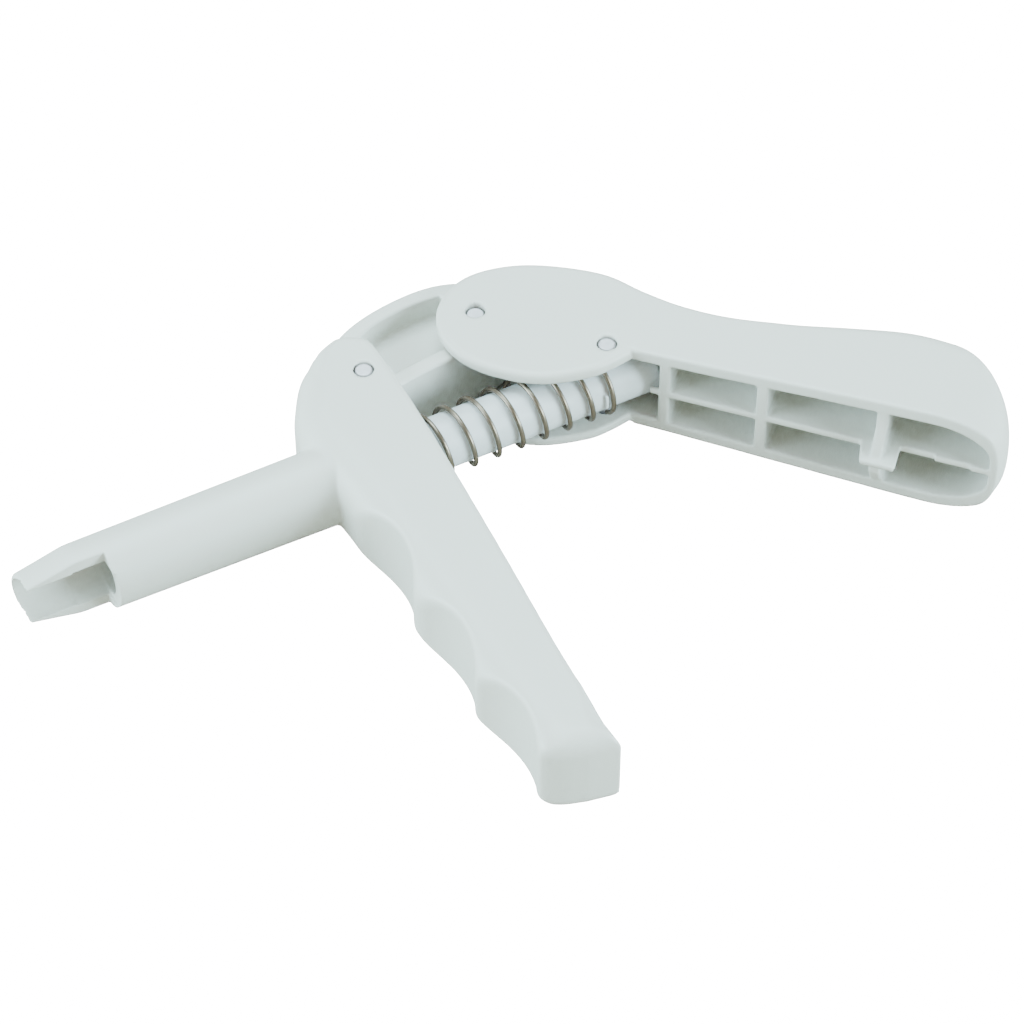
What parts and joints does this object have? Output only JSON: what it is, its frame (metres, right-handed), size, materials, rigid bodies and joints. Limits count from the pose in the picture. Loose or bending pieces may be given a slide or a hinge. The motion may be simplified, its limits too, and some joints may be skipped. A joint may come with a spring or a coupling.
{
  "type": "capsule dispensing gun",
  "caption": "Squeeze gun that pushes a unit-dose capsule's contents out of a slotted nozzle, with hinged grips, arch link, plunger and return spring.",
  "frame": {"origin": "centre of the bounding box's bottom face, with the gun lying on its side", "axes": "+X runs back along the barrel, from the nozzle to the grips; +Y points away from the grips, in the gun's plane; +Z is the gun's thickness"},
  "size_m": [0.1616, 0.1034, 0.0216],
  "materials": {
    "grey_plastic": "satin moulded",
    "white_plastic": "smooth moulded",
    "pin_steel": "turned",
    "spring_steel": "drawn wire"
  },
  "bodies": {
    "body": {"front_body": "grey_plastic", "body_pin": "pin_steel", "return_spring": "spring_steel"},
    "plunger": {"plunger_rod": "white_plastic", "push_tip": "pin_steel"},
    "handle": {"rear_handle": "grey_plastic", "rod_pin": "pin_steel", "link_pin": "pin_steel"},
    "link": {"arch_link": "grey_plastic"}
  },
  "joints": [
    {"name": "plunger_slide", "type": "slide", "parent": "body", "child": "plunger", "axis": [-1, 0, 0], "range_m": [0, 0.0194], "deforming": ["return_spring"]},
    {"name": "handle_hinge", "type": "hinge", "parent": "plunger", "child": "handle", "pos_m": [0.02648, 0.02306, 0.0108], "axis": [0, 0, -1], "range_deg": [0, 46], "stiffness_Nm_per_rad": 0.29, "springref_deg": -37.82},
    {"name": "link_hinge", "type": "hinge", "parent": "body", "child": "link", "pos_m": [-0.01232, 0.03696, 0.0108], "axis": [0, 0, 1], "range_deg": [0, 16.5]}
  ],
  "couplings": [
    {"joint": "plunger_slide", "follows": "handle_hinge", "m_per_rad": 0.024},
    {"joint": "link_hinge", "follows": "handle_hinge", "ratio": 0.355}
  ]
}
